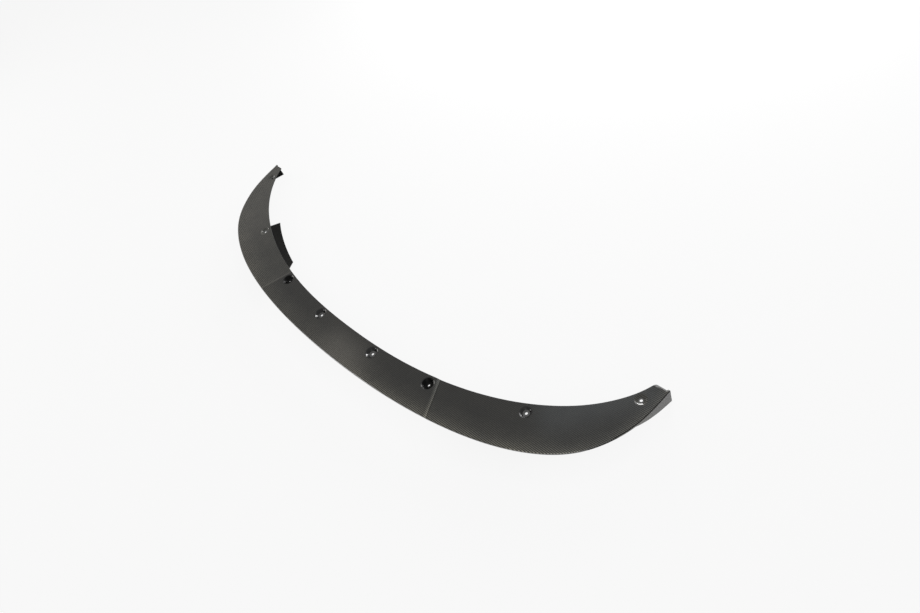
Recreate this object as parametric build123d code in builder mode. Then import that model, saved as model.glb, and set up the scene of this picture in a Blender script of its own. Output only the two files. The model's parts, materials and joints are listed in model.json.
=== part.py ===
from build123d import *
import os
from math import acos, asin, cos, degrees, hypot, radians, sin, tan

# Front splitter lip in three bonded laminate sections, modelled with its road face up.
# X runs across the car, the leading edge looks to -Y, and the fins and flanges hang below the blade.
# The plan is drawn from the foremost point of the leading edge, on the centre line.

# Blade outline in plan, in millimetres: two superellipse arcs, the same on both sides
span = 1766.0  # across the outer corners of the tips
sweep = 443.0  # foremost point to the ends of the tips
chord = 104.5  # width of the blade on the centre line
tip_width = 37.0
tip_step = 3.0  # how far the blade's end stops short of its fin
tip_round = 8.0  # corner between that end and the trailing edge
lead_run_on = 200.0  # how far past the tip the leading edge's curve would close
lead_across = 2.07  # how square that curve is across the car
lead_along = 4.67  # how square it is front to back
trail_run_on = 81.5
trail_across = 2.24
trail_along = 2.0

# Laminate and edges
laminate = 3.0
edge_drop = 6.5  # depth of the turned-down leading edge below the side sections' road face
edge_bevel = 1.8  # on the outer corner of that edge

# Seams, where the centre section laps over the side sections
seam_front_x = 418.0  # where a seam crosses the leading edge
seam_rear_x = 371.0  # where it crosses the trailing edge
seam_gap = 0.3
seam_bevel = 10.0  # width of the bevel on the ends of the centre section
bevel_land = 0.8  # thickness left at the foot of that bevel
bond_line = 0.3  # glue between the lapped faces
lap_beyond = 30.0  # how far the tongue under the lap runs past the seam hole
lap_clearance = 1.0  # between that tongue and the turned-down edge in front of it

# Screw dimples: flat-floored cups, set in from the trailing edge
middle_spacing = 257.0  # between the feet of the two middle holes on the trailing edge
seam_hole_ahead = 18.0  # from the rear end of a seam, along it
side_hole_in = 228.0  # from the inner corner of a tip towards the centre line
tip_hole_ahead = 47.5  # from the end of a tip
hole_inset = 24.5
tip_hole_inset = 20.0
screw_hole = 8.0
dimple_rim = 37.0
dimple_floor = 21.0
dimple_depth = 9.0
side_rim = 31.0
side_floor = 19.0
side_depth = 5.5
tip_rim = 29.0
tip_floor = 17.0
tip_depth = 4.0
rim_bevel = 1.5
rim_clearance = 1.5  # between the dimple by a seam and the bevel there

# Fins at the tips, where the turned-down edge deepens towards the rear
fin_length = 121.0
fin_drop = 52.0
fin_belly = 4.0  # how far the fin's lower edge bows below a straight line

# Stay flanges under the trailing edge of the side sections
flange_off_seam = 17.0  # from the rear end of a seam to the root of the flange
flange_in = 217.0  # from the inner corner of a tip to the other end of that root
flange_front_rake = 77.0  # how far the end by the seam leans towards the tip
flange_rear_rake = 52.0
flange_drop = 52.0
flange_lean = 20.0  # degrees from upright, towards the car
flange_set = 2.0  # how far the flange's face starts inside the trailing edge

curve_points = 9  # points that carry each edge's curve
margin = 50.0  # how far cutting shapes run past the blade


class SweptEdge:
    """One edge of the blade in plan, a superellipse arc from the centre line to the tip."""

    def __init__(self, tip_x, tip_y, start, run_on, across, along):
        self.start = start
        self.depth = tip_y - start + run_on
        self.across = across
        self.along = along
        self.reach = tip_x / (1 - (run_on / self.depth) ** along) ** (1 / across)
        self.tip = self.turn_at_y(tip_y)

    def turn_at_x(self, x):
        """The arc's angle, 0 on the centre line and 90 at full reach, at x from the centre line."""
        return degrees(asin((x / self.reach) ** (self.across / 2)))

    def turn_at_y(self, y):
        """The arc's angle at y behind the foremost point."""
        return degrees(acos((1 - (y - self.start) / self.depth) ** (self.along / 2)))

    def shares(self, turn):
        """How much of the reach is used and how much of the depth is left, each from 0 to 1."""
        return sin(radians(turn)) ** (2 / self.across), cos(radians(turn)) ** (2 / self.along)

    def normal(self, turn):
        """Unit normal that points away from the car."""
        used, left = self.shares(turn)
        nx = self.across * used ** (self.across - 1) / self.reach
        ny = -self.along * left ** (self.along - 1) / self.depth
        return Vector(nx, ny) / hypot(nx, ny)

    def at(self, turn, outward=0.0):
        """The point at that angle, moved outward along the normal."""
        used, left = self.shares(turn)
        return Vector(self.reach * used, self.start + self.depth * (1 - left)) + self.normal(turn) * outward

    def curve(self, first, last, outward=0.0):
        """A smooth curve between two angles, for the line that is being drawn."""
        turns = [first + (last - first) * i / (curve_points - 1) for i in range(curve_points)]
        headings = [self.normal(turn).rotate(Axis.Z, 90) for turn in (first, last)]
        return Spline(*(self.at(turn, outward) for turn in turns), tangents=headings)


tip_corner = span / 2
inner_corner = tip_corner - tip_width
leading = SweptEdge(tip_corner, sweep, 0.0, lead_run_on, lead_across, lead_along)
trailing = SweptEdge(inner_corner, sweep, chord, trail_run_on, trail_across, trail_along)


def rear_turn(x):
    """The trailing edge's angle at x from the centre line."""
    return trailing.turn_at_x(x)


# The right seam in plan
seam_foot = leading.at(leading.turn_at_x(seam_front_x))
seam_end = trailing.at(rear_turn(seam_rear_x))
seam_along = (seam_end - seam_foot).normalized()
seam_across = seam_along.rotate(Axis.Z, -90)
seam_hole_off = seam_bevel + rim_clearance + rim_bevel + dimple_rim / 2
lap = seam_hole_off + lap_beyond

# Screw holes of the right half in plan
middle_hole = trailing.at(rear_turn(middle_spacing / 2), hole_inset)
seam_hole = seam_end - seam_along * seam_hole_ahead - seam_across * seam_hole_off
side_hole = trailing.at(rear_turn(inner_corner - side_hole_in), hole_inset)
tip_hole = trailing.at(trailing.turn_at_y(sweep - tip_hole_ahead), tip_hole_inset)

# The origin is midway between the middle screws, where their dimples seat against the car
step = laminate + bond_line  # the centre section's road face stands this far above the others'
centre_face = Plane((0, -middle_hole.Y, laminate + dimple_depth))
road_face = centre_face.offset(-step)
side_view = Plane(road_face.origin, x_dir=(0, 1, 0), z_dir=(1, 0, 0))


def seam_line(shift):
    """Front and rear points of the right seam line, moved towards the tip, past both edges."""
    foot = seam_foot + seam_across * shift
    return foot - seam_along * margin, foot + seam_along * (chord + margin)


def behind_edge(inset):
    """Everything that lies at least inset behind the leading edge, open at the tips and the rear."""
    with BuildSketch() as region:
        with BuildLine():
            front = leading.curve(0, leading.tip, -inset)
            way_out = Line(front @ 1, front @ 1 + (front % 1) * margin)
            Polyline(way_out @ 1, (0, sweep + margin), front @ 0)
        make_face()
        mirror(about=Plane.YZ)
    return region.sketch


# Whole blade in plan
with BuildSketch() as blade:
    with BuildLine():
        front_line = leading.curve(0, leading.tip)
        rear_line = trailing.curve(0, trailing.turn_at_y(sweep - tip_step))
        fin_end = front_line @ 1 - Vector(laminate + edge_bevel, 0)
        Polyline(front_line @ 1, fin_end, fin_end - Vector(tip_step, tip_step), rear_line @ 1)
        Line(front_line @ 0, rear_line @ 0)
    make_face()
    fillet(blade.vertices().sort_by_distance(rear_line @ 1)[0], tip_round)
    mirror(about=Plane.YZ)

# Plan of the right section from its seam to the tip
seam_front, seam_rear = seam_line(seam_gap)
with BuildSketch() as side_plan:
    with BuildLine():
        outer_rear = Vector(tip_corner + margin, sweep + margin)
        outer_front = Vector(tip_corner + margin, -margin)
        Polyline(seam_front, seam_rear, (seam_rear.X, outer_rear.Y), outer_rear, outer_front, close=True)
    make_face()
    add(blade.sketch, mode=Mode.INTERSECT)

# Plan of the tongue that the right section reaches under the centre section
tongue_front, tongue_rear = seam_line(-lap)
with BuildSketch() as tongue_plan:
    with BuildLine():
        Polyline(tongue_front, tongue_rear, seam_rear, seam_front, close=True)
    make_face()
    add(blade.sketch, mode=Mode.INTERSECT)
    add(behind_edge(laminate + lap_clearance), mode=Mode.INTERSECT)

# Plan of the centre section's right half, centre line to seam
end_front, end_rear = seam_line(0)
with BuildSketch() as centre_plan:
    with BuildLine():
        Polyline(end_front, end_rear, (0, end_rear.Y), (0, end_front.Y), close=True)
    make_face()
    add(blade.sketch, mode=Mode.INTERSECT)

# Bevel on the right end of the centre section, falling from the road face to the land at the seam
bevel_face = Plane(
    centre_face.from_local_coords(seam_foot - seam_across * seam_bevel),
    x_dir=seam_along,
    z_dir=seam_across * (laminate - bevel_land) + Vector(0, 0, seam_bevel),
)

edge_void = behind_edge(laminate)


def form_dimples(places, rim, floor, depth):
    """Press flat-floored cups into the blade that is being built, each with its screw hole."""
    mouth_up = (Align.CENTER, Align.CENTER, Align.MAX)
    with Locations(*(place - Vector(0, 0, laminate) for place in places)):
        Cone(floor / 2, rim / 2, depth, align=mouth_up)
    with Locations(*places):
        Cone(floor / 2, rim / 2, depth, align=mouth_up, mode=Mode.SUBTRACT)
        Hole(screw_hole / 2)


def rims(section, face, *diameters):
    """The mouths of a section's dimples, as edges in its road face."""
    z = face.origin.Z
    circles = section.edges().filter_by(GeomType.CIRCLE)
    in_face = circles.filter_by_position(Axis.Z, z - laminate / 2, z + laminate / 2)
    return in_face.filter_by(lambda edge: any(abs(edge.radius - d / 2) < rim_bevel / 2 for d in diameters))


with BuildPart(road_face) as right_section:
    with BuildSketch(road_face):
        add(side_plan.sketch)
    extrude(amount=-fin_drop)
    with BuildSketch(road_face.offset(-laminate)):
        add(edge_void)
    extrude(amount=-fin_drop, mode=Mode.SUBTRACT)
    # The lower edge: level under the blade, then down in a bow to the foot of the fin
    with BuildSketch(side_view):
        with BuildLine():
            fin_root = Vector(sweep - fin_length, -edge_drop)
            fin_foot = Vector(sweep, -fin_drop)
            below = -fin_drop - margin
            ThreePointArc(fin_root, (fin_root + fin_foot) / 2 - Vector(0, fin_belly), fin_foot)
            Polyline(fin_foot, (sweep, below), (-margin, below), (-margin, -edge_drop), fin_root)
        make_face()
    extrude(amount=tip_corner + margin, mode=Mode.SUBTRACT)
    lead_edge = right_section.edges().group_by(Axis.Z)[-1].sort_by(SortBy.LENGTH)[-1]
    chamfer(lead_edge, edge_bevel)
    with BuildSketch(road_face):
        add(tongue_plan.sketch)
    extrude(amount=-laminate)
    # Stay flange: a strip under the trailing edge, lofted down to its raked and leaning free edge
    root_ends = (seam_rear_x + flange_off_seam, inner_corner - flange_in)
    free_ends = (root_ends[0] + flange_front_rake, root_ends[1] + flange_rear_rake)
    lean = tan(radians(flange_lean))
    flange_wall = laminate / cos(radians(flange_lean))
    for ends, drop in ((root_ends, laminate / 2), (free_ends, flange_drop)):
        first, last = (rear_turn(x) for x in ends)
        inside = flange_set - drop * lean
        with BuildSketch(road_face.offset(-drop)):
            with BuildLine():
                face_line = trailing.curve(first, last, inside)
                back_line = trailing.curve(first, last, inside + flange_wall)
                Line(face_line @ 0, back_line @ 0)
                Line(face_line @ 1, back_line @ 1)
            make_face()
    loft(ruled=True)
    form_dimples([seam_hole], dimple_rim, dimple_floor, dimple_depth)
    form_dimples([side_hole], side_rim, side_floor, side_depth)
    form_dimples([tip_hole], tip_rim, tip_floor, tip_depth)
    chamfer(rims(right_section, road_face, dimple_rim, side_rim, tip_rim), rim_bevel)

with BuildPart(centre_face) as centre_section:
    with BuildSketch(centre_face):
        add(centre_plan.sketch)
    extrude(amount=-step - edge_drop)
    with BuildSketch(centre_face.offset(-laminate)):
        add(edge_void)
    extrude(amount=-step - edge_drop, mode=Mode.SUBTRACT)
    centre_edge = centre_section.edges().group_by(Axis.Z)[-1].sort_by(Axis.Y)[0]
    chamfer(centre_edge, edge_bevel)
    split(bisect_by=bevel_face, keep=Keep.BOTTOM)
    mirror(about=Plane.YZ)
    right_holes = [middle_hole, seam_hole]
    left_holes = [Vector(-hole.X, hole.Y) for hole in right_holes]
    form_dimples(right_holes + left_holes, dimple_rim, dimple_floor, dimple_depth)
    chamfer(rims(centre_section, centre_face, dimple_rim), rim_bevel)

with BuildPart() as left_section:
    mirror(right_section.part, about=Plane.YZ)

os.makedirs("parts", exist_ok=True)

left_section.part.label = "left_section"
export_step(left_section.part, "parts/left_section.step")
centre_section.part.label = "centre_section"
export_step(centre_section.part, "parts/centre_section.step")
right_section.part.label = "right_section"
export_step(right_section.part, "parts/right_section.step")
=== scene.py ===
# %% [markdown]
# A front splitter lip, lying with its road face up. The solid model already has the right shape
# and size, so this lesson is about what makes it look like a real moulding: rounded laminate edges,
# a twill weave that turns with each face, a clear coat on the outside and bare cloth on the inside.

# %% Load the solid model as a fixed frame
import bmesh
import bpy
import json
import math
import numpy as np
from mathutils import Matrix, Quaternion, Vector

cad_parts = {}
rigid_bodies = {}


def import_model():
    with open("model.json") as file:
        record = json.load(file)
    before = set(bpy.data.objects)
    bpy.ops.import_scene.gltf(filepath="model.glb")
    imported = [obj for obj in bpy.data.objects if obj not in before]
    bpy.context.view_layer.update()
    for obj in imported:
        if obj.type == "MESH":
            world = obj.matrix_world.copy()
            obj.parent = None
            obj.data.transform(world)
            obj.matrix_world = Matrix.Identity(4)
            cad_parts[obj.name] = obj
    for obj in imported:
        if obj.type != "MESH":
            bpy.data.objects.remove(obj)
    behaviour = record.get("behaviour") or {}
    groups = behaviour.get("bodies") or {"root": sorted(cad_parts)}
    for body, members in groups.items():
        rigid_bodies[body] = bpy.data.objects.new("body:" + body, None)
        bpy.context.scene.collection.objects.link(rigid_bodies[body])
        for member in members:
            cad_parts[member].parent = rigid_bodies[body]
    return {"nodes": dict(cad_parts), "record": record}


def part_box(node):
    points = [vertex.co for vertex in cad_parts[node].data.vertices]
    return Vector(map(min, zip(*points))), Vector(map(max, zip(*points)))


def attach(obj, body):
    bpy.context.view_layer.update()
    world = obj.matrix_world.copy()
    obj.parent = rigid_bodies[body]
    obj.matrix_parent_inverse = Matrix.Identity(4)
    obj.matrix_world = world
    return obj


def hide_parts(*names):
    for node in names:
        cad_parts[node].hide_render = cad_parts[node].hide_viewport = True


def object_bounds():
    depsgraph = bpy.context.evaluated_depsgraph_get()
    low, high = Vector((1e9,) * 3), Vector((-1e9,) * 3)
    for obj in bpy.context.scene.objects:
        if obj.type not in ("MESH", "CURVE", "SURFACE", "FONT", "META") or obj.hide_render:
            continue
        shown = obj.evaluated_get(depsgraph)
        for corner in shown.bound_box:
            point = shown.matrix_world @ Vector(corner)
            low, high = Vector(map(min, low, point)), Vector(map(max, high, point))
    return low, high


bpy.ops.object.select_all(action="SELECT")
bpy.ops.object.delete()
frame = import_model()
scene = bpy.context.scene
solid_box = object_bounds()
print("nodes:", sorted(frame["nodes"]))
print("solid box:", [tuple(round(c, 4) for c in p) for p in solid_box])

# %% [markdown]
# The camera comes first, because every later choice is judged through it. It could be aimed by eye,
# but the holes, seams and tips of a symmetric part give enough pairs of points to work out where it
# stood. A place, a point to look at and a roll are all that is needed.

# %% Camera
MM = 0.001  # lengths are in metres
PICTURE_WIDTH = 920
FOCAL_PIXELS = 691.4
EYE = Vector((1.42460, -0.24954, 1.53255))
AIM = Vector((0.24915, 0.26144, 0.0087))
ROLL = math.radians(-28.61)

lens = bpy.data.cameras.new("camera")
lens.lens = FOCAL_PIXELS / PICTURE_WIDTH * lens.sensor_width
camera = bpy.data.objects.new("camera", lens)
scene.collection.objects.link(camera)
camera.location = EYE
camera.rotation_mode = "QUATERNION"
camera.rotation_quaternion = (EYE - AIM).to_track_quat("Z", "Y") @ Quaternion((0, 0, 1), ROLL)
scene.camera = camera
print("camera lens %.2f mm, %.2f m from what it looks at" % (lens.lens, (EYE - AIM).length))

# %% [markdown]
# Materials are graphs of nodes, and a long graph is hard to read as a list of links. A small class
# that wraps one output socket lets the maths be written as ordinary Python. Each operator adds a
# Math node, and one method adds every other kind of node.


# %% Shader maths as Python expressions
class Wire:
    """One output socket of a node tree, with operators that add Math nodes."""

    def __init__(self, tree, socket=None):
        self.tree = tree
        self.socket = socket

    def node(self, kind, settings=None, inputs=None, output=0):
        """Add a node, set it up, fill or link its sockets, and return a wire from one output."""
        made = self.tree.nodes.new(kind)
        for name, value in (settings or {}).items():
            setattr(made, name, value)
        for name, value in (inputs or {}).items():
            if isinstance(value, Wire):
                self.tree.links.new(value.socket, made.inputs[name])
            else:
                made.inputs[name].default_value = value
        return Wire(self.tree, made.outputs[output])

    def math(self, operation, *values):
        """A Math node on some wires and numbers."""
        return self.node("ShaderNodeMath", {"operation": operation}, dict(enumerate(values)))

    def out(self, name):
        """A wire from another output of the same node."""
        return Wire(self.tree, self.socket.node.outputs[name])

    def clipped(self):
        """This value kept between 0 and 1."""
        return self.node("ShaderNodeClamp", inputs={0: self})

    def between(self, low, high):
        """A number from low to high as this value goes from 0 to 1."""
        return low + (high - low) * self

    def mix_colour(self, dark, light):
        """A colour from dark to light as this value goes from 0 to 1, and on past light beyond it."""
        settings = {"data_type": "RGBA", "clamp_factor": False}
        return self.node("ShaderNodeMix", settings, {0: self, 6: dark, 7: light}, output=2)

    def __add__(self, other):
        return self.math("ADD", self, other)

    def __radd__(self, other):
        return self.math("ADD", other, self)

    def __sub__(self, other):
        return self.math("SUBTRACT", self, other)

    def __rsub__(self, other):
        return self.math("SUBTRACT", other, self)

    def __mul__(self, other):
        return self.math("MULTIPLY", self, other)

    def __rmul__(self, other):
        return self.math("MULTIPLY", other, self)

    def __truediv__(self, other):
        return self.math("DIVIDE", self, other)

    def __rtruediv__(self, other):
        return self.math("DIVIDE", other, self)

    def __mod__(self, other):
        return self.math("FLOORED_MODULO", self, other)

    def __rmod__(self, other):
        return self.math("FLOORED_MODULO", other, self)

    def __pow__(self, other):
        return self.math("POWER", self, other)

    def __rpow__(self, other):
        return self.math("POWER", other, self)

    def __lt__(self, other):
        return self.math("LESS_THAN", self, other)

    def __gt__(self, other):
        return self.math("GREATER_THAN", self, other)


print("shader maths: + - * / % ** < >")

# %% [markdown]
# Every finish starts from a new material's own shader. Its sockets could be reached one by one, but
# two helpers keep the recipes short: one makes the material, the other sets or links its sockets.


# %% Material helpers
def new_material(name):
    """A material, its shader, and a loose wire to start from."""
    material = bpy.data.materials.new(name)
    material.use_nodes = True
    tree = material.node_tree
    shader = next(n for n in tree.nodes if n.type == "BSDF_PRINCIPLED")
    return material, shader, Wire(tree)


def feed(shader, **sockets):
    """Set or link the shader's sockets, with an underscore for each space in a name."""
    for name, value in sockets.items():
        socket = shader.inputs[name.replace("_", " ")]
        if isinstance(value, Wire):
            value.tree.links.new(value.socket, socket)
        else:
            socket.default_value = value


print("material helpers ready")

# %% [markdown]
# The cloth is a twill: each tow, a flat ribbon of fibres, goes over two and under two, and every row
# shifts by one, which draws fine diagonal lines. An image would be the usual way. Here the pattern is
# worked out from the cloth's own coordinates, which the mesh carries as an attribute, so it is
# sharp at any distance. The tows lie at 45 degrees to the car, so the diagonals run across it.

# %% Twill cloth
TOW = 1.6 * MM  # width of one tow
FLOAT = 2  # tows that a tow passes over before it dives
FIBRES = 14.0  # streaks across one tow
STREAK_RUN = 0.7  # how much the streaks change along it
STREAK_STEP = 3.7  # how far apart two tows lie in the noise, so that their streaks differ
DIVE_HEIGHT = 0.35  # height of a tow where it dives, as a share of its height in the middle


def twill(wire):
    """Height, roundness, streaks, warp mask, a chance tone of the tow, and the cloth's painted brightness.
    """
    cloth = wire.node("ShaderNodeAttribute", {"attribute_name": "cloth"}, output=1)
    place = wire.node("ShaderNodeSeparateXYZ", inputs={0: cloth})
    u, v = place / TOW, place.out(1) / TOW
    column, row = u.math("FLOOR", u), v.math("FLOOR", v)
    across_warp, across_weft = u - column, v - row
    step = (column - row) % (2 * FLOAT)
    warp = step < FLOAT
    along_warp = (FLOAT - 1 - step + across_weft) / FLOAT
    along_weft = (step - FLOAT + across_warp) / FLOAT
    across = across_weft + warp * (across_warp - across_weft)
    along = along_weft + warp * (along_warp - along_weft)
    crown = 1 - (2 * across - 1) ** 2
    dive = 1 - (2 * along - 1) ** 2
    which = row + warp * (column - row)
    fibre = wire.node("ShaderNodeCombineXYZ", inputs={
        0: across * FIBRES, 1: along * STREAK_RUN, 2: which * STREAK_STEP})
    streak = wire.node("ShaderNodeTexNoise", inputs={"Vector": fibre, "Scale": 1.0, "Detail": 2.0})
    diagonal = u.math("FLOOR", (column + row) / FLOAT)
    crossing = wire.node("ShaderNodeCombineXYZ", inputs={0: which, 1: diagonal, 2: warp})
    chance = wire.node("ShaderNodeTexWhiteNoise", inputs={"Vector": crossing})
    return crown * dive.between(DIVE_HEIGHT, 1.0), crown, streak, warp, chance, place.out(2)


print("tow %.1f mm, repeat %.1f mm" % (TOW / MM, TOW / MM * 2 * FLOAT))

# %% [markdown]
# Along the leading edge the weave is painted paler and with more contrast, a painted sheen, and most of
# all in a narrow band on the right, a painted highlight. Paint on the mesh could show that, but its faces
# are too long there. The edge is one curve in plan, a superellipse, so the shader can measure how far
# behind it a point lies.

# %% Painted sheen and highlight along the leading edge
LEAD_REACH = 0.8852  # half width, depth and powers of the leading edge's curve
LEAD_DEPTH = 0.643
LEAD_POWERS = (2.07, 4.67)
FRONT = solid_box[0].y
LEAST = 0.01  # keeps the curve's slope from vanishing
LEAD_SHEEN_WIDTH = 80 * MM  # width of the painted sheen along the leading edge
LEAD_SHEEN_END, LEAD_SHEEN_FADE = 0.84, 0.15  # where it ends towards a tip, and over what length
LEAD_HIGHLIGHT_WIDTH = 40 * MM  # width of the painted highlight at the edge itself
LEAD_HIGHLIGHT_START, LEAD_HIGHLIGHT_FADE = 0.05, 0.12  # where it starts on the right, and over what length


def lead_sheen_shares(place):
    """Shares that are 1 at the leading edge and 0 behind it: nearness, the painted sheen and the painted
    highlight.
    """
    parts = place.node("ShaderNodeSeparateXYZ", inputs={0: place})
    aside = parts.math("ABSOLUTE", parts)
    x, left = aside / LEAD_REACH, 1 - (parts.out(1) - FRONT) / LEAD_DEPTH
    left = left.math("MAXIMUM", left, LEAST)
    across, along = LEAD_POWERS
    slope_x = across / LEAD_REACH * x ** (across - 1)
    slope_y = along / LEAD_DEPTH * left ** (along - 1)
    slope = (slope_x * slope_x + slope_y * slope_y) ** 0.5
    behind = (1 - x ** across - left ** along) / slope
    near = (1 - behind / LEAD_SHEEN_WIDTH).clipped()
    rim = (1 - behind / LEAD_HIGHLIGHT_WIDTH).clipped()
    inboard = ((LEAD_SHEEN_END - aside) / LEAD_SHEEN_FADE).clipped()
    on_right = ((parts - LEAD_HIGHLIGHT_START) / LEAD_HIGHLIGHT_FADE).clipped()
    return near, near * inboard, rim * rim * on_right


print("pale zone %.0f mm wide, band %.0f mm" % (LEAD_SHEEN_WIDTH / MM, LEAD_HIGHLIGHT_WIDTH / MM))

# %% [markdown]
# Outside, the laminate has a clear coat that smooths over the weave: the coat gives the broad soft
# reflection, and the fibres below it give a two-tone check, because tows that run one way send the
# light to the eye and those that cross them don't. On upright faces the coat ran thin before it set.
# Inside, where none was sprayed, the cloth is dark and dull. Both share the twill, so one function
# makes them.

# %% Laminate finishes
WARM_BLACK = (0.003, 0.0029, 0.0026, 1)
WARM_GREY = (0.086, 0.078, 0.058, 1)
COOL_GREY = (0.069, 0.068, 0.061, 1)
BARE_GREY = (0.066, 0.068, 0.070, 1)
CHECK = 0.4  # how far the tows of one direction are brighter than the mean, and the others darker
CHECK_LEAD = 0.55  # and how much is added to that at the leading edge
LEAD_HIGHLIGHT_SHARE = 2.0  # how much paler the painted highlight at the edge is than the painted sheen behind it
CLOUD = 55 * MM  # size of the slow changes in tone
TOW_TONES = (0.3, 1.0)  # brightness at a tow's edge and on its crown
STREAK_TONES = (0.55, 1.45)  # of its darkest and palest fibres
CHANCE_TONES = (0.8, 1.2)  # of one float and the next
CLOUD_TONES = (0.7, 1.3)  # over the slow changes
WARMTH = 0.3  # how far the slow changes, and the painted sheen along the leading edge, turn the grey warm
STREAK_GLOSS = 0.2  # how much smoother the palest fibres are
STREAK_HEIGHT = 0.15  # how much they stand out
WEAVE_DEPTH = 0.2 * MM
WEAVE_BUMP = 0.3
COAT = {"Coat_Roughness": 0.14, "Coat_IOR": 1.7}
THIN_COAT = 0.65  # weight of the coat on upright faces
LEVEL_GAIN = 1.6  # how soon a leaning face counts as level


def laminate(name, grey, lift, pale, gloss, dullness, shine):
    """Twill laminate: lift scales the fibres' brightness, pale the leading edge's painted sheen and
    highlight, gloss the coat.
    """
    material, shader, wire = new_material(name)
    height, crown, streak, warp, chance, painted_tone = twill(wire)
    place = wire.node("ShaderNodeTexCoord", output=3)
    cloud = wire.node("ShaderNodeTexNoise", inputs={"Vector": place, "Scale": 1 / CLOUD, "Detail": 3.0})
    near, lead, rim = lead_sheen_shares(place)
    normal = wire.node("ShaderNodeNewGeometry", output=1)
    rise = wire.node("ShaderNodeSeparateXYZ", inputs={0: normal}).out(2)
    level = (LEVEL_GAIN * rise.math("ABSOLUTE", rise)).clipped()
    # painted light: the cloth's painted brightness, plus the painted sheen and highlight along the leading
    # edge
    brighter = painted_tone + pale * (lead + LEAD_HIGHLIGHT_SHARE * rim * level)
    check = 1 + (CHECK + CHECK_LEAD * near) * (2 * warp - 1)
    weave = check * crown.between(*TOW_TONES) * streak.between(*STREAK_TONES)
    tone = weave * chance.between(*CHANCE_TONES) * cloud.between(*CLOUD_TONES) * brighter * lift
    fibre = (WARMTH * (cloud + lead)).mix_colour(grey, WARM_GREY)
    bump = wire.node("ShaderNodeBump", inputs={
        "Strength": WEAVE_BUMP, "Distance": WEAVE_DEPTH, "Height": height + streak * STREAK_HEIGHT})
    coat = gloss * level.between(THIN_COAT, 1.0) if gloss else 0.0
    feed(shader, Base_Color=tone.mix_colour(WARM_BLACK, fibre), Normal=bump, Coat_Weight=coat,
         Roughness=dullness - STREAK_GLOSS * streak, Specular_IOR_Level=shine, **COAT)
    return material


coated_twill = laminate("coated_twill", COOL_GREY,
                        lift=0.48, pale=1.2, gloss=1.0, dullness=0.6, shine=0.1)
bare_twill = laminate("bare_twill", BARE_GREY,
                      lift=0.065, pale=0.0, gloss=0.0, dullness=0.9, shine=0.03)
print("laminates:", coated_twill.name, bare_twill.name)

# %% [markdown]
# Where the moulding was trimmed and drilled, the plies show as a dull grey edge. Inside the two dimples
# that join the laps the surface is painted glossy black, a painted dark reflection that stands in for
# their shade, and the floors of the other dimples are a paler grey. None of them needs the weave, only a
# little mottling so that it doesn't look printed.

# %% Cut edges, painted black shade in the lap dimples, and pale seats
MOTTLED_ROUGHNESS = (0.3, 0.7)  # in the dark and in the light of the mottling


def mottled(name, dark, light, grain, **sockets):
    """A plain finish whose colour drifts between two tones, with a grain of the given size."""
    material, shader, wire = new_material(name)
    place = wire.node("ShaderNodeTexCoord", output=3)
    drift = wire.node("ShaderNodeTexNoise", inputs={"Vector": place, "Scale": 1 / grain, "Detail": 3.0})
    feed(shader, Base_Color=drift.mix_colour(dark, light),
         Roughness=drift.between(*MOTTLED_ROUGHNESS), **sockets)
    return material


cut_edge = mottled("cut_edge", dark=(0.008, 0.008, 0.0078, 1), light=(0.035, 0.0345, 0.033, 1),
                   grain=1.2 * MM, Specular_IOR_Level=0.2)
# painted shade: the dark reflection inside the two dimples at the laps, given as black colour
black_painted_shade = mottled("black_painted_shade", dark=(0.001, 0.001, 0.001, 1), light=(0.004, 0.004, 0.004, 1),
                     grain=6 * MM, Specular_IOR_Level=0.15, Coat_Weight=0.15, Coat_Roughness=0.06)
# the paler grey floors of the other dimples
screw_seat = mottled("screw_seat", dark=(0.06, 0.06, 0.058, 1), light=(0.25, 0.249, 0.243, 1),
                     grain=2.5 * MM, Specular_IOR_Level=0.3, Coat_Weight=0.6, **COAT)
print("plain finishes:", cut_edge.name, black_painted_shade.name, screw_seat.name)

# %% [markdown]
# How an edge is rounded, and which finish a face gets, depends on where it lies: by a screw hole, or
# near the leading edge. Edges and faces could be picked by hand, but that would have to be done again
# for every change of the solid. The record gives the holes, and the edge's curve is known already, so
# both are measured.

# %% Screw holes and the leading edge
HOLE_RADIUS = frame["record"]["mounts"][0]["dims"]["hole_r_mm"] * MM
RIM_RADIUS = 20.2 * MM  # no dimple's rim is wider than this
TIP_ZONE = 0.8  # the tips lie further from the middle than this
holes, dark_lap_holes = [], []
for mount in frame["record"]["mounts"]:
    half = mount["dims"]["spacing_x_mm"] / 2 * MM
    pair = [Vector((side * half, mount["pos_m"][1])) for side in (-1, 1)]
    holes += pair
    if mount["name"] == "seam_screws":
        dark_lap_holes = pair


def hole_distance(point, places):
    """Distance in plan from a point to the nearest of some screw holes' axes."""
    return min((point.xy - hole).length for hole in places)


def inside_lead(point):
    """Distance from the leading edge towards the car, in plan, and the direction along that edge."""
    x, left = abs(point.x) / LEAD_REACH, 1 - (point.y - FRONT) / LEAD_DEPTH
    across, along = LEAD_POWERS
    slope = Vector((across * x ** (across - 1) / LEAD_REACH, -along * left ** (along - 1) / LEAD_DEPTH))
    run = Vector((math.copysign(slope.y, point.x), slope.x, 0)).normalized()
    return (1 - x ** across - left ** along) / slope.length, run


print("screw holes:", len(holes), "of which painted_black:", len(dark_lap_holes))

# %% [markdown]
# Two small forms soften each tip: the blade's end slopes down over its last millimetres, where it was
# rubbed smooth, and the shallow dimple by it runs out like a dish instead of turning a corner onto a flat
# floor. A sculpting brush could do both. Moving the few corners that are concerned is exact, and it
# happens to a copy, so the solid stays as it is.

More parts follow.
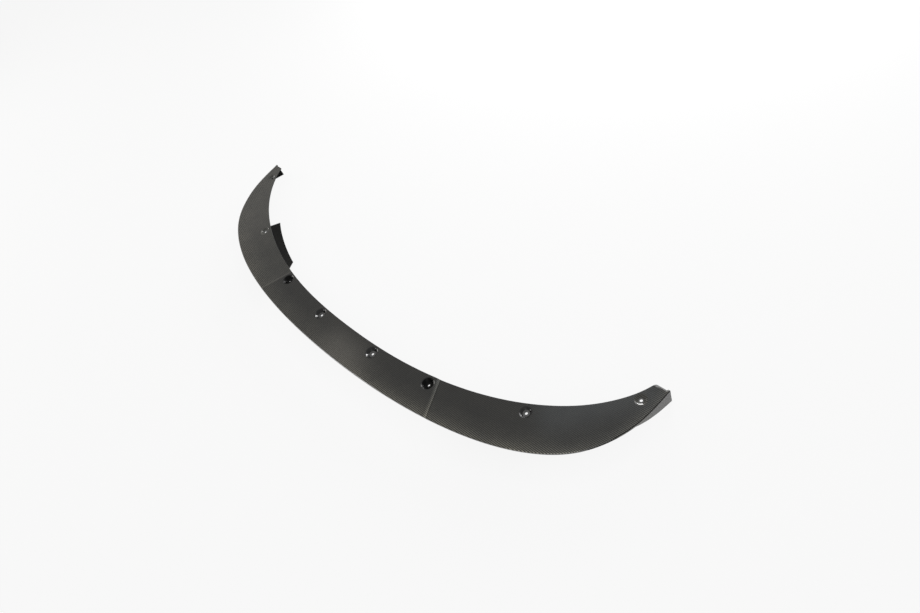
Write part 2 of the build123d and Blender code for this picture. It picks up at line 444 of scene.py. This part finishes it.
# %% Eased tips and soft dishes
LAMINATE = 3 * MM
WELD = 0.01 * MM  # corners closer than this are one
SAME_HEIGHT = 0.05 * MM  # and heights closer than this are the same
FACE_UP = 0.99  # a face that looks up has a normal that rises more than this
TIP_END = 356.99 * MM  # where the blade stops at a tip, and how far and how deep its end is eased
TIP_EASE = 9 * MM
TIP_FALL = 1.7 * MM
HORN = 876 * MM  # the fin's own end, outboard of this, keeps its height
SEAT_RADIUS = 8.5 * MM  # edge of a tip dimple's flat floor, and where its soft corner brings it
SEAT_SLACK = 0.4 * MM
SOFT_SEAT = 6.3 * MM


def ease_tip(shape):
    """Slope the last few millimetres of a blade's road face down to its end."""
    start = TIP_END - TIP_EASE
    road = max(vertex.co.z for vertex in shape.verts)

    def on_road(vertex):
        return abs(vertex.co.z - road) < SAME_HEIGHT

    flat = [face for face in shape.faces if face.normal.z > FACE_UP and on_road(face.verts[0])]
    cut = {part for face in flat for part in (face, *face.edges, *face.verts)}
    bmesh.ops.bisect_plane(shape, geom=list(cut), plane_co=(0, start, 0), plane_no=(0, 1, 0), dist=WELD)
    for vertex in shape.verts:
        past = vertex.co.y - start
        if past > 0 and abs(vertex.co.x) < HORN and on_road(vertex):
            vertex.co.z -= TIP_FALL * past / TIP_EASE


def soften_tip_dimple(shape):
    """Draw the floor's edge of a shallow tip dimple inwards, so that its wall runs out like a dish's."""
    for vertex in shape.verts:
        hole = min(holes, key=lambda place: (vertex.co.xy - place).length)
        out = vertex.co.xy - hole
        on_seat = abs(out.length - SEAT_RADIUS) < SEAT_SLACK and vertex.co.z > LAMINATE
        if abs(hole.x) > TIP_ZONE and on_seat:
            vertex.co.xy = hole + out * (SOFT_SEAT / out.length)


print("tip ends fall %.1f mm over %.0f mm" % (TIP_FALL / MM, TIP_EASE / MM))

# %% [markdown]
# A solid's mesh has knife edges, which never catch the light, and a real laminate's do: the mould draws
# the leading edge and the dimples round, and a trimmed edge is broken with sandpaper. The edges could be
# rounded in the solid, but it is lighter and safer without. Here each sharp edge gets a share of one
# rounding, by where it lies.

# %% Which edges are rounded
SOFT, LEAD_SOFT = math.radians(35), math.radians(50)  # shading runs on over an edge that turns less
SHARP, DIMPLE_SHARP = math.radians(40), math.radians(15)  # and one that turns more is rounded
EDGE_ROUND = 2.5 * MM  # the leading edge's rounding lies within this
ROUND = 2.0 * MM  # rounding at full weight, which only the dishes at the tips ask for
LEAD_WEIGHT = 0.5  # share of it along the leading edge
DIMPLE_WEIGHT = 0.4  # round the other screw dimples
TRIM_WEIGHT = 0.175  # on trimmed edges


def mark_edges(shape):
    """Give each sharp edge its share of the rounding, and say where the shading runs on over it."""
    weight = shape.edges.layers.float.new("bevel_weight_edge")
    for edge in shape.edges:
        angle = edge.calc_face_angle(0.0)
        middle = (edge.verts[0].co + edge.verts[1].co) / 2
        hole = hole_distance(middle, holes)
        in_dimple = hole < RIM_RADIUS + MM
        in_dish = in_dimple and abs(middle.x) > TIP_ZONE and hole > HOLE_RADIUS + MM
        on_lead = inside_lead(middle)[0] < EDGE_ROUND and middle.z > 0
        edge.smooth = angle < (LEAD_SOFT if on_lead else SOFT)
        if angle > (DIMPLE_SHARP if in_dimple else SHARP):
            plain = LEAD_WEIGHT if on_lead else TRIM_WEIGHT
            edge[weight] = 1.0 if in_dish else DIMPLE_WEIGHT if in_dimple else plain


print("leading edge rounded by %.1f mm, trimmed edges by %.2f mm" % (
    ROUND * LEAD_WEIGHT / MM, ROUND * TRIM_WEIGHT / MM))

# %% [markdown]
# Each section is then rebuilt from its solid. The roundings could be modelled by hand, one by one, but a
# Bevel modifier rounds every edge that was given a weight. Before that the copy is welded and its flat
# faces are merged, so that no seam of the mesh shows. A second modifier weighs the normals by the faces'
# size, so that the flat faces beside a rounding are shaded flat.

# %% Rounded copies of the sections
FLAT = math.radians(0.4)  # faces that turn less than this are merged
ROUND_STEPS = 3


def rounded_copy(name, node):
    """A welded, rounded copy of a solid's mesh, with even shading on its flat faces."""
    mesh = bpy.data.meshes.new(name)
    shape = bmesh.new()
    shape.from_mesh(node.data)
    bmesh.ops.remove_doubles(shape, verts=shape.verts, dist=WELD)
    bmesh.ops.dissolve_limit(shape, angle_limit=FLAT, verts=shape.verts, edges=shape.edges)
    if node.name != "centre_section":
        ease_tip(shape)
        soften_tip_dimple(shape)
    mark_edges(shape)
    for face in shape.faces:
        face.smooth = True
    shape.to_mesh(mesh)
    shape.free()
    piece = bpy.data.objects.new(name, mesh)
    scene.collection.objects.link(piece)
    bevel = piece.modifiers.new("round", "BEVEL")
    bevel.limit_method = "WEIGHT"
    bevel.width = ROUND
    bevel.segments = ROUND_STEPS
    even = piece.modifiers.new("even", "WEIGHTED_NORMAL")
    even.keep_sharp = True
    finished = piece.evaluated_get(bpy.context.evaluated_depsgraph_get())
    ready = bpy.data.meshes.new_from_object(finished)
    piece.modifiers.clear()
    piece.data = ready
    ready.name = name
    return piece


sections = {}
for side in ("left", "centre", "right"):
    node = frame["nodes"][side + "_section"]
    sections[side] = rounded_copy(side + "_moulding", node)
    print(side, "faces", len(node.data.polygons), "->", len(sections[side].data.polygons))

# %% [markdown]
# The outside of the moulding is coated, the inside is bare, and trimmed edges show the plies. The rounded
# fold above each fin gets the same dark finish as a painted dark line of shade. A mask painted for each
# finish would do. Here a face's finish follows from the way it looks and from where it lies, so that it
# stays right when the solid changes.

# %% Which finish a face has
FINISHES = (coated_twill, bare_twill, cut_edge, black_painted_shade, screw_seat)
COATED, BARE, CUT, DARK_LAP, PALE_SEAT = range(len(FINISHES))
UPRIGHT = 0.5  # an upright face has a normal that rises or falls less than this
STEEP, LEVEL = 0.2, 0.97  # and a slope, such as a dimple's wall, one that rises between these
ROAD_TILT = 0.35  # the road face and its rounded edges rise more than this
FACING = 0.6  # a face looks some way when its normal points at least this far that way
HOLE_SLACK = 0.3 * MM  # a hole's own wall lies within its radius and this
RIM_DROP = 1.1 * MM  # a dimple's wall starts this far below the road face
WALL_SKIN = 0.7 * MM  # the outer wall lies within this of the leading edge
TOP_LAYER = 1.1 * LAMINATE
FOLD_START = 0.85  # outboard of this the fin is folded down from the leading edge


def finish_of(centre, normal, road):
    """Which finish a face has, from where it is and which way it looks."""
    below = road - centre.z
    behind, run = inside_lead(centre)
    hole = hole_distance(centre, holes)
    if hole < HOLE_RADIUS + HOLE_SLACK and abs(normal.z) < UPRIGHT:
        return CUT
    if hole < RIM_RADIUS and normal.z > STEEP and below > RIM_DROP:
        # the two dimples at the laps are painted black as their shade
        if hole_distance(centre, dark_lap_holes) < RIM_RADIUS:
            return DARK_LAP
        # the level floors of the other dimples take the paler grey
        return PALE_SEAT if normal.z > LEVEL else COATED
    on_edge = STEEP < normal.z < LEVEL and behind < EDGE_ROUND and below < LAMINATE / 2
    # painted shade: the rounded fold above each fin takes the dark cut finish as a dark line
    if on_edge and abs(centre.x) > FOLD_START:
        return CUT
    outer_wall = behind < WALL_SKIN and normal.z > -UPRIGHT
    road_face = normal.z > ROAD_TILT and below < TOP_LAYER
    if outer_wall or road_face:
        return COATED
    trimmed = abs(normal.z) < FACING and below < TOP_LAYER
    lower_edge = normal.z < -FACING and below > 2 * LAMINATE and hole > RIM_RADIUS
    flange_end = abs(normal.dot(run)) > FACING and below > LAMINATE and hole > RIM_RADIUS
    return CUT if trimmed or lower_edge or flange_end else BARE


print("finishes:", [finish.name for finish in FINISHES])

# %% [markdown]
# The fibres' brightness also holds painted light. The left section's cloth is painted paler as a sheen,
# the bevels of the laps and the front right edge carry painted highlights, the fins, flanges and front
# walls a painted sheen, and the dimples' walls painted sheen and shade. More materials could show all
# that, but one number carried by the cloth is enough: how bright its fibres look.

# %% How bright the cloth is painted, with its painted sheen, highlights and shade
SECTION_SHEEN = {"left": 2.05, "centre": 1.0, "right": 1.0}  # painted sheen of each section's cloth, paler on the left
UPRIGHT_SHEEN = 1.3  # painted sheen on every section's fin, flange and front wall
FIN_START_SHEEN = 4.0  # how much brighter a fin is painted where it starts, a painted sheen, and where and over what length it fades
FIN_FROM, FIN_FADE = 0.24, 0.08
FRONT_EDGE_HIGHLIGHT = 8.0  # painted highlight on the rounded edge at the front right, and where it runs
FRONT_EDGE_HIGHLIGHT_FROM, FRONT_EDGE_HIGHLIGHT_TO = 0.64, 0.80
TIP_WALL_SHEEN = 2.8  # painted sheen on the wall of the dish at the right tip
DIMPLE_WALL_LIGHT_AND_SHADE = {"left": 4.0, "centre": 0.12, "right": 0.12}  # the walls of the other dimples: a painted highlight on the left, painted shade elsewhere
LAP_HIGHLIGHT = 8.0  # how much paler a lap's bevel is painted, a painted highlight, at its thin end by the leading edge
LAP_HIGHLIGHT_BEHIND = 4.5  # and this far behind it
LAP_HIGHLIGHT_RUN = 90 * MM
LEFT_LAP_HIGHLIGHT = 0.3  # share of it at the left lap, whose painted highlight is fainter
LAP_DEPTH = 2.5 * MM
LAP_SLACK = 1.2
LAP_TILT = (0.9, 0.99)  # the bevel's normal rises between these
LAP_ZONE = (0.35, 0.45)  # and it lies between these distances from the middle


def brightness(side, point, normal, road):
    """How bright the fibres are painted at a corner of a face, with painted sheen, highlights and shade.
    """
    behind = inside_lead(point)[0]
    aside, below = abs(point.x), road - point.z
    if STEEP < normal.z < LEVEL and point.x > -TIP_ZONE:
        # painted highlight along the rounded front right edge
        if FRONT_EDGE_HIGHLIGHT_FROM < point.x < FRONT_EDGE_HIGHLIGHT_TO and behind < EDGE_ROUND:
            return FRONT_EDGE_HIGHLIGHT
        # painted sheen and shade on the dimples' walls
        if hole_distance(point, holes) < RIM_RADIUS:
            return TIP_WALL_SHEEN if point.x > TIP_ZONE else DIMPLE_WALL_LIGHT_AND_SHADE[side]
    # painted highlight on the bevels of the laps
    on_lap = LAP_ZONE[0] < aside < LAP_ZONE[1] and below < LAP_SLACK * LAP_DEPTH
    if on_lap and LAP_TILT[0] < normal.z < LAP_TILT[1]:
        fade = min(behind / LAP_HIGHLIGHT_RUN, 1)
        lap_highlight = LAP_HIGHLIGHT + (LAP_HIGHLIGHT_BEHIND - LAP_HIGHLIGHT) * fade
        share = 1 if point.x > 0 else LEFT_LAP_HIGHLIGHT
        return SECTION_SHEEN[side] * (1 + lap_highlight * share * below / LAP_DEPTH)
    # painted sheen on upright faces, strongest where a fin starts
    if abs(normal.z) < UPRIGHT:
        fade = min(max((point.y - FIN_FROM) / FIN_FADE, 0), 1) if aside > FOLD_START else 1
        return UPRIGHT_SHEEN + FIN_START_SHEEN * (1 - fade)
    return SECTION_SHEEN[side]


print("section_sheens:", SECTION_SHEEN)

# %% [markdown]
# The cloth turns with the moulding: on a face that looks up it lies in plan, and on the fin and the flange
# it runs along their length and down their height. A UV map is the usual way to lay it. An attribute of
# three numbers does the same in metres, and its third number takes the painted brightness along, with its
# painted sheen, highlights and shade.

# %% Lay the cloth and dress the sections
DIAGONAL = math.sqrt(0.5)  # the tows lie at 45 degrees
SIDE_START = 0.6  # outboard of this the front wall runs along the car rather than across it
FLANGE_RUN = (0.87, 0.5)  # the flange's direction in plan


def cloth_place(point, normal):
    """Where a point lies on the cloth, along its two kinds of tow, in metres."""
    x, y = abs(point.x), point.y
    if abs(normal.z) > UPRIGHT:
        first, second = x, y
    elif inside_lead(point)[0] < 2 * LAMINATE:
        first, second = y if x > SIDE_START else x, point.z
    else:
        first, second = FLANGE_RUN[0] * x + FLANGE_RUN[1] * y, point.z
    return (first + second) * DIAGONAL, (first - second) * DIAGONAL


for side, piece in sections.items():
    mesh = piece.data
    mesh.materials.clear()
    for finish in FINISHES:
        mesh.materials.append(finish)
    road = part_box(side + "_section")[1].z
    cloth = np.zeros((len(mesh.loops), 3), np.float32)
    for face in mesh.polygons:
        face.material_index = finish_of(face.center, face.normal, road)
        for corner in face.loop_indices:
            point = mesh.vertices[mesh.loops[corner].vertex_index].co
            # painted brightness of the fibres: painted sheen, highlights and shade
            bright = brightness(side, point, face.normal, road)
            cloth[corner] = (*cloth_place(point, face.normal), bright)
    layer = mesh.attributes.new("cloth", "FLOAT_VECTOR", "CORNER")
    layer.data.foreach_set("vector", cloth.ravel())
    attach(piece, "root")
    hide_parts(side + "_section")
    count = np.bincount([face.material_index for face in mesh.polygons], minlength=len(FINISHES))
    print(side, dict(zip([finish.name for finish in FINISHES], count.tolist())))

# %% [markdown]
# The lip lies on white. The floor is a large pale sheet just under the fins and flanges. It could be lit
# until it burns out, which would also flood the lip, so instead the floor looks white to the camera and
# to reflections, with a share of its true shading for the shadow, and is plain pale paint to all other
# light.

# %% Floor
FLOOR_SIZE = 30.0
FLOOR_GAP = 0.2 * MM
FLOOR_PAINT = (0.9, 0.9, 0.9, 1)
FLOOR_ROUGHNESS = 0.9
FLOOR_SHADOW = 0.11  # how much of the true shading stays in view
half = FLOOR_SIZE / 2
ground = solid_box[0].z - FLOOR_GAP
corners = [(x * half, y * half, ground) for x, y in ((-1, -1), (1, -1), (1, 1), (-1, 1))]
mesh = bpy.data.meshes.new("floor")
mesh.from_pydata(corners, [], [(0, 1, 2, 3)])
floor = bpy.data.objects.new("floor", mesh)
scene.collection.objects.link(floor)
material, shader, wire = new_material("white_floor")
feed(shader, Base_Color=FLOOR_PAINT, Roughness=FLOOR_ROUGHNESS, Specular_IOR_Level=0.0)
rays = wire.node("ShaderNodeLightPath")
reflected = wire.math("MAXIMUM", rays.out("Is Glossy Ray"), rays.out("Is Transmission Ray"))
seen = wire.math("MAXIMUM", rays.out("Is Camera Ray"), reflected)
glow = wire.node("ShaderNodeEmission", inputs={"Color": (1, 1, 1, 1), "Strength": 1.0})
paint = Wire(wire.tree, shader.outputs[0])
blend = wire.node("ShaderNodeMixShader", inputs={0: seen * (1 - FLOOR_SHADOW), 1: paint, 2: glow})
output = next(n for n in wire.tree.nodes if n.type == "OUTPUT_MATERIAL")
wire.tree.links.new(blend.socket, output.inputs["Surface"])
mesh.materials.append(material)
print("floor at %.1f mm" % (ground / MM))

# %% [markdown]
# The room is pale overhead and dim at the sides, which keeps the dimples' walls dark. A picture of a
# studio could surround the part, but a plain rise in brightness with height is enough for a soft light.

# %% Room
ROOM_SIDES = 0.18
ROOM_ABOVE = 0.36
world = bpy.data.worlds.new("room")
world.use_nodes = True
scene.world = world
wire = Wire(world.node_tree)
background = next(n for n in world.node_tree.nodes if n.type == "BACKGROUND")
towards = wire.node("ShaderNodeTexCoord", output=0)
height = wire.node("ShaderNodeSeparateXYZ", inputs={0: towards}).out(2)
upward = wire.math("MAXIMUM", height, 0.0)
feed(background, Color=(1, 1, 1, 1), Strength=upward.between(ROOM_SIDES, ROOM_ABOVE))
print("room from %.2f to %.2f" % (ROOM_SIDES, ROOM_ABOVE))

# %% [markdown]
# A dark glossy part shows its lights more than it shows its colour, so the lamps are placed by what they
# do to the reflections. Two boxes behind the part, a low one and a high one, draw the bright crescents in
# the dimples, and a low one at the front left lights their opposite rims. A long narrow box overhead lays
# a cool sheen along the near tip, and a small warm one a sheen on the middle. A broad box beyond the far
# tip, with a faint panel beside it, makes the blade grow paler that way. A wide dim one in front fills the
# near fin.

# %% Soft boxes
AIMED_AT = Vector((0, 0.1, 0))
WHITE = (1.0, 1.0, 1.0)
SOFT_BOXES = (  # name, place, size, turn in degrees, radiance, colour
    ("soft_box_behind", (-0.50, 2.29, 0.42), (1.9, 0.65), 0, 12.0, WHITE),
    ("soft_box_high", (0.1, 2.1, 1.9), (1.4, 0.8), 0, 2.8, WHITE),
    ("soft_box_overhead", (-0.08, 0.85, 1.9), (0.7, 0.2), 40, 0.45, (0.82, 0.92, 1.0)),
    ("soft_box_middle", (-1.93, 0.20, 2.19), (0.3, 0.3), 0, 0.65, (1.0, 0.93, 0.82)),
    ("soft_box_far", (-3.3, -1.0, 1.35), (1.6, 0.9), 0, 3.2, (1.0, 0.98, 0.94)),
    ("soft_box_beyond", (-2.75, 0.75, 1.21), (0.9, 0.7), 0, 0.21, (1.0, 0.95, 0.88)),
    ("soft_box_low", (-1.7, -2.0, 0.3), (1.2, 0.5), 0, 3.0, WHITE),
    ("soft_box_front", (2.6, -1.9, 1.0), (2.6, 1.6), 0, 0.5, WHITE),
)
for name, place, size, turn, radiance, colour in SOFT_BOXES:
    box = bpy.data.lights.new(name, "AREA")
    box.shape = "RECTANGLE"
    box.size, box.size_y = size
    box.energy = radiance * math.pi * size[0] * size[1]
    box.color = colour
    lamp = bpy.data.objects.new(name, box)
    lamp.location = place
    lamp.rotation_mode = "QUATERNION"
    turned = Quaternion((0, 0, 1), math.radians(turn))
    lamp.rotation_quaternion = (Vector(place) - AIMED_AT).to_track_quat("Z", "Y") @ turned
    scene.collection.objects.link(lamp)
    print("%s %.1f W" % (name, box.energy))
scene.view_settings.view_transform = "Standard"
